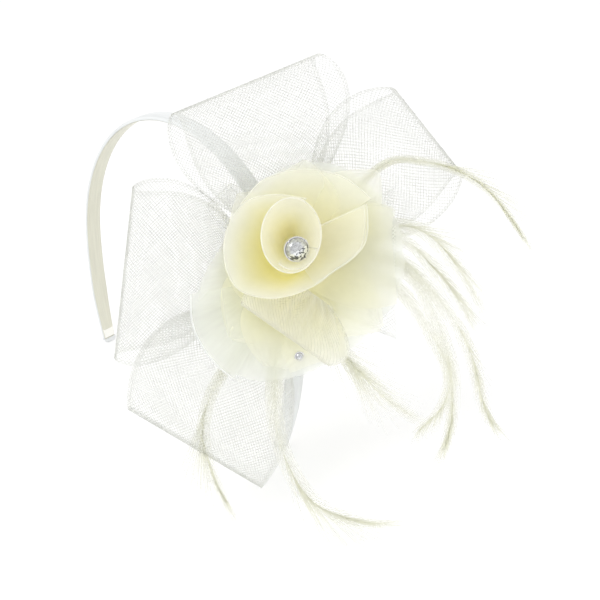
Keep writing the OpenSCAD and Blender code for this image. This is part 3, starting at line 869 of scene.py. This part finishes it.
# Per feather, its loose locks of barbs: the side they leave to (1 is right of its run, from
# the stem), from where to where on the shaft, their length in mm, and the least and most
# degrees that they turn away from the shaft
FEATHER_FANS = [
    [(-1, 0.45, 0.78, 24, 2, 13), (1, 0.8, 0.95, 8, 8, 18)],
    [(-1, 0.25, 0.7, 24, 1, 15)],
    [(-1, 0.3, 0.75, 20, 1, 13)],
    [(-1, 0.5, 0.9, 13, 6, 17), (1, 0.6, 0.9, 9, 8, 17)],
    [(1, 0.55, 0.92, 12, 7, 19), (-1, 0.7, 0.9, 9, 7, 16)],
    [(-1, 0.74, 0.96, 9, 18, 42)],
    [(-1, 0.15, 0.55, 26, 5, 32), (1, 0.12, 0.5, 27, 5, 32)],
    [(1, 0.45, 0.66, 29, -2, 13), (-1, 0.66, 0.74, 17, 3, 8)],
    [(1, 0.36, 0.58, 28, -4, 11), (-1, 0.62, 0.86, 10, 5, 11)]]
FEATHER_RIBBON = [1.8, 3.4, 3.2, 3.0, 3.4, 3.2, 3.6, 3.6, 2.8]
CLOSE_BARBS = 1.5  # per mm of shaft, on each side
LOCKS, LOCK_BARBS = 16, 5
BARB_POINTS = 9


def barb_axes(line, u):
    """Along the shaft at u, across it and out of the vane."""
    ahead = unit(curve(line, min(1, u + 0.02)) - curve(line, max(0, u - 0.02)))
    across = unit(np.cross(ahead, [0, 0, 1.0]))
    return ahead, across, np.cross(across, ahead)


def feather_paths(line, ribbon, fans):
    """A shaft, close barbs that lie along it as a flat ribbon, and loose locks that leave it
    nearly straight."""
    u = np.linspace(0, 1, 70)
    t = np.linspace(0, 1, BARB_POINTS)
    shaft = curve(line, u)
    whole = np.linalg.norm(np.diff(shaft, axis=0), axis=1).sum()
    barbs = int(CLOSE_BARBS * whole)
    paths, radii = [shaft], [np.interp(u, [0, 0.8, 1], [0.2, 0.12, 0.05])]
    for side in (-1, 1):
        for n in range(barbs):
            start = 0.02 + 0.88 * ((n + rng.random()) / barbs) ** 1.6
            narrow = min(1.0, 2.2 * (1.02 - start))
            length = min(rng.uniform(14, 24), whole * (1.03 - start))
            away = side * ribbon * narrow * (n * 0.618 % 1 + 0.1) * (1 - (1 - t) ** 4)
            _, across, out = barb_axes(line, start)
            root = curve(line, start + t * length / whole)
            paths.append(root + np.outer(away, across) + np.outer(0.5 * rng.normal() * t, out))
            radii.append(np.interp(t, [0, 1], [0.09, 0.035]))
    for side, first, last, reach, least, most in fans:
        for lock in range(LOCKS):
            middle = first + (last - first) * (lock + rng.random()) / LOCKS
            turn = rng.uniform(least, most)
            rise = 0.1 * rng.normal()
            for _ in range(LOCK_BARBS):
                start = middle + 0.02 * rng.normal()
                ahead, across, out = barb_axes(line, start)
                angle = math.radians(turn + 2.2 * rng.normal())
                way = ahead * math.cos(angle) + across * side * math.sin(angle) + out * rise
                length = reach * rng.uniform(0.7, 1.1)
                bend = curve(line, np.minimum(1, start + t * length / whole)) - curve(line, start)
                paths.append(curve(line, start) + np.outer(0.85 * length * t, way) + 0.15 * bend)
                radii.append(np.interp(t, [0, 1], [0.11, 0.05]))
    return paths, radii


def make_feathers():
    barbs = fibre_material("feather_barbs", (0.995, 0.995, 0.92), 0.5, 0.8, show=(0.3, 0.46),
                           uneven=0.02)
    for n, (line, ribbon, fans) in enumerate(zip(FEATHERS, FEATHER_RIBBON, FEATHER_FANS), 1):
        paths, radii = feather_paths(line, ribbon, fans)
        piece = make_tubes(f"feather_{n}_plume", paths, radii, barbs)
        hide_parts(f"feather_{n}")


# ---------------------------------------------------------------- headband
BAND_W, TIP_W, TAPER = 8.0, 6.0, 25.0
CORE_T, CLOTH_T = 1.2, 0.3


def band_strip(section, rows=360):
    """A cloth strip along the band. section gives (share of half width, mm out, depth)."""
    k = np.linspace(-LAST_STEP, LAST_STEP, rows)
    middle = band_point(k)
    out, across = band_axes(k)
    width = TIP_W + (BAND_W - TIP_W) * np.minimum(1, middle[:, 2] / TAPER)
    lift = np.where(np.abs(k) > LAST_STEP - 0.01, 1.0, 0.0)[:, None] * np.array([0, 0, 1.5])
    columns = [middle + lift + across * (share * width[:, None] / 2 + extra) - out * depth
               for share, extra, depth in section]
    return np.stack(columns, 1)


def make_strip(name, section, material, node):
    grid = band_strip(section)
    rows, cols = grid.shape[:2]
    piece = make_piece(name, grid * MM, grid_faces(rows, cols), material,
                       uv=cloth_metres(grid))
    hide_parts(node)


def wrapped_section(points=9):
    """Satin over the top of the core, round both edges and a little way under it."""
    over = [(v, 0, 0.25 * v ** 6) for v in np.linspace(-0.92, 0.92, points)]
    deep = CORE_T + CLOTH_T
    right = [(1, -0.12, 0.35), (1, 0.02, 0.6), (1, 0.02, 1.1), (1, -0.1, deep),
             (0.8, 0, deep + 0.05)]
    left = [(-share, -extra, depth) for share, extra, depth in reversed(right)]
    return left + over + right


def make_band():
    satin = satin_material("band_satin_cloth", (0.75, 0.77, 0.77), 0.38)
    liner = satin_material("band_liner_cloth", (0.70, 0.69, 0.58), 0.6, 0.5)
    make_strip("band_satin_cover", wrapped_section(), satin, "band_satin")
    deep = CORE_T + 2 * CLOTH_T
    lining = [(v, 0, deep - 0.12 * v ** 8) for v in np.linspace(-0.93, 0.93, 9)]
    hem = [(0.95, 0, deep - 0.2), (0.9, 0, deep - 0.27), (0.6, 0, deep - 0.27)]
    lining = [(-v, 0, depth) for v, _, depth in reversed(hem)] + lining + hem
    make_strip("band_liner_strip", lining, liner, "band_liner")
    for name in ("tip_far", "tip_near"):
        dress(name, satin)
        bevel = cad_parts[name].modifiers.new("soft", "BEVEL")
        bevel.width = 0.35 * MM
        bevel.segments = 3


# ---------------------------------------------------------------- base, stem and ties
def dress(name, material):
    """Gives a CAD node its material."""
    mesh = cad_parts[name].data
    mesh.materials.clear()
    mesh.materials.append(material)


def stitch(a, b, high):
    """One stitch: a short arc from a to b that stands high above the cloth."""
    t = np.linspace(0, 1, 7)[:, None]
    rise = np.array([0, 0, 1.0]) * high * np.sin(np.pi * t)
    return np.array(a) * (1 - t) + np.array(b) * t + rise


def patch_stitches(thread):
    """Whip stitches round the felt patch on the head side."""
    turn = math.radians(-FLOWER_ROLL)
    back = np.array([[math.cos(turn), -math.sin(turn), 0], [math.sin(turn), math.cos(turn), 0],
                     [0, 0, 1]])
    low = -(CORE_T + 2 * CLOTH_T + 1.2) - 0.4
    paths = []
    for n in range(34):
        a = 2 * math.pi * n / 34
        end = 6 * math.copysign(1, math.sin(a))
        inner = np.array([7.2 * math.cos(a), end + 7.2 * math.sin(a), low - 0.05])
        outer = np.array([9.3 * math.cos(a + 0.12), end + 9.3 * math.sin(a + 0.12), low + 0.9])
        paths.append(stitch(inner, outer, -0.35) @ back.T)
    make_tubes("patch_stitches", paths, [0.16] * len(paths), thread, sides=6)


def winding(name, at, turn, thread):
    """Thread wound round a bunch of quills: one long helix in place of the tie."""
    t = np.linspace(0, 1, 460)
    a = 2 * np.pi * 14 * t
    r = 1.42 + 0.12 * np.sin(np.pi * t)
    path = np.stack([0.2 + 4.6 * t, r * np.cos(a), r * np.sin(a)], -1)
    c, s = math.cos(math.radians(turn)), math.sin(math.radians(turn))
    path = path @ np.array([[c, -s, 0], [s, c, 0], [0, 0, 1]]).T + np.array(at)
    core = np.array(at) + np.linspace(0, 5, 12)[:, None] * np.array([c, s, 0])
    piece = make_tubes(name + "_winding", [path, core], [0.2, 1.35], thread, sides=8)
    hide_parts(name)


def make_base():
    felt = felt_material("felt_base", (0.93, 0.94, 0.93))
    thread = fibre_material("sewing_thread", (0.95, 0.94, 0.88), 0.5, 0.2, scale=2000, uneven=0.15)
    tape = fibre_material("stem_tape", (0.94, 0.92, 0.80), 0.8, 0.1, scale=900, uneven=0.1)
    plastic = plain_material("band_plastic", (0.9, 0.89, 0.84), 0.4)
    glue = plain_material("dry_glue", (0.92, 0.91, 0.86), 0.25)
    looks = {"felt_patch": felt, "base_disc": felt, "stem": tape, "stem_thread": thread,
             "band_core": plastic, "glue_pad": glue}
    for name, look in looks.items():
        dress(name, look)
    patch_stitches(thread)
    winding("feather_tie_side", (11, 9, 7.6), 15, thread)
    winding("feather_tie_lower", (-1, -9, 7.6), -100, thread)


# ---------------------------------------------------------------- run
make_camera()
make_studio()
make_all_crin()
make_frill()
make_leaves()
make_rose()
make_crystals()
make_feathers()
make_band()
make_base()
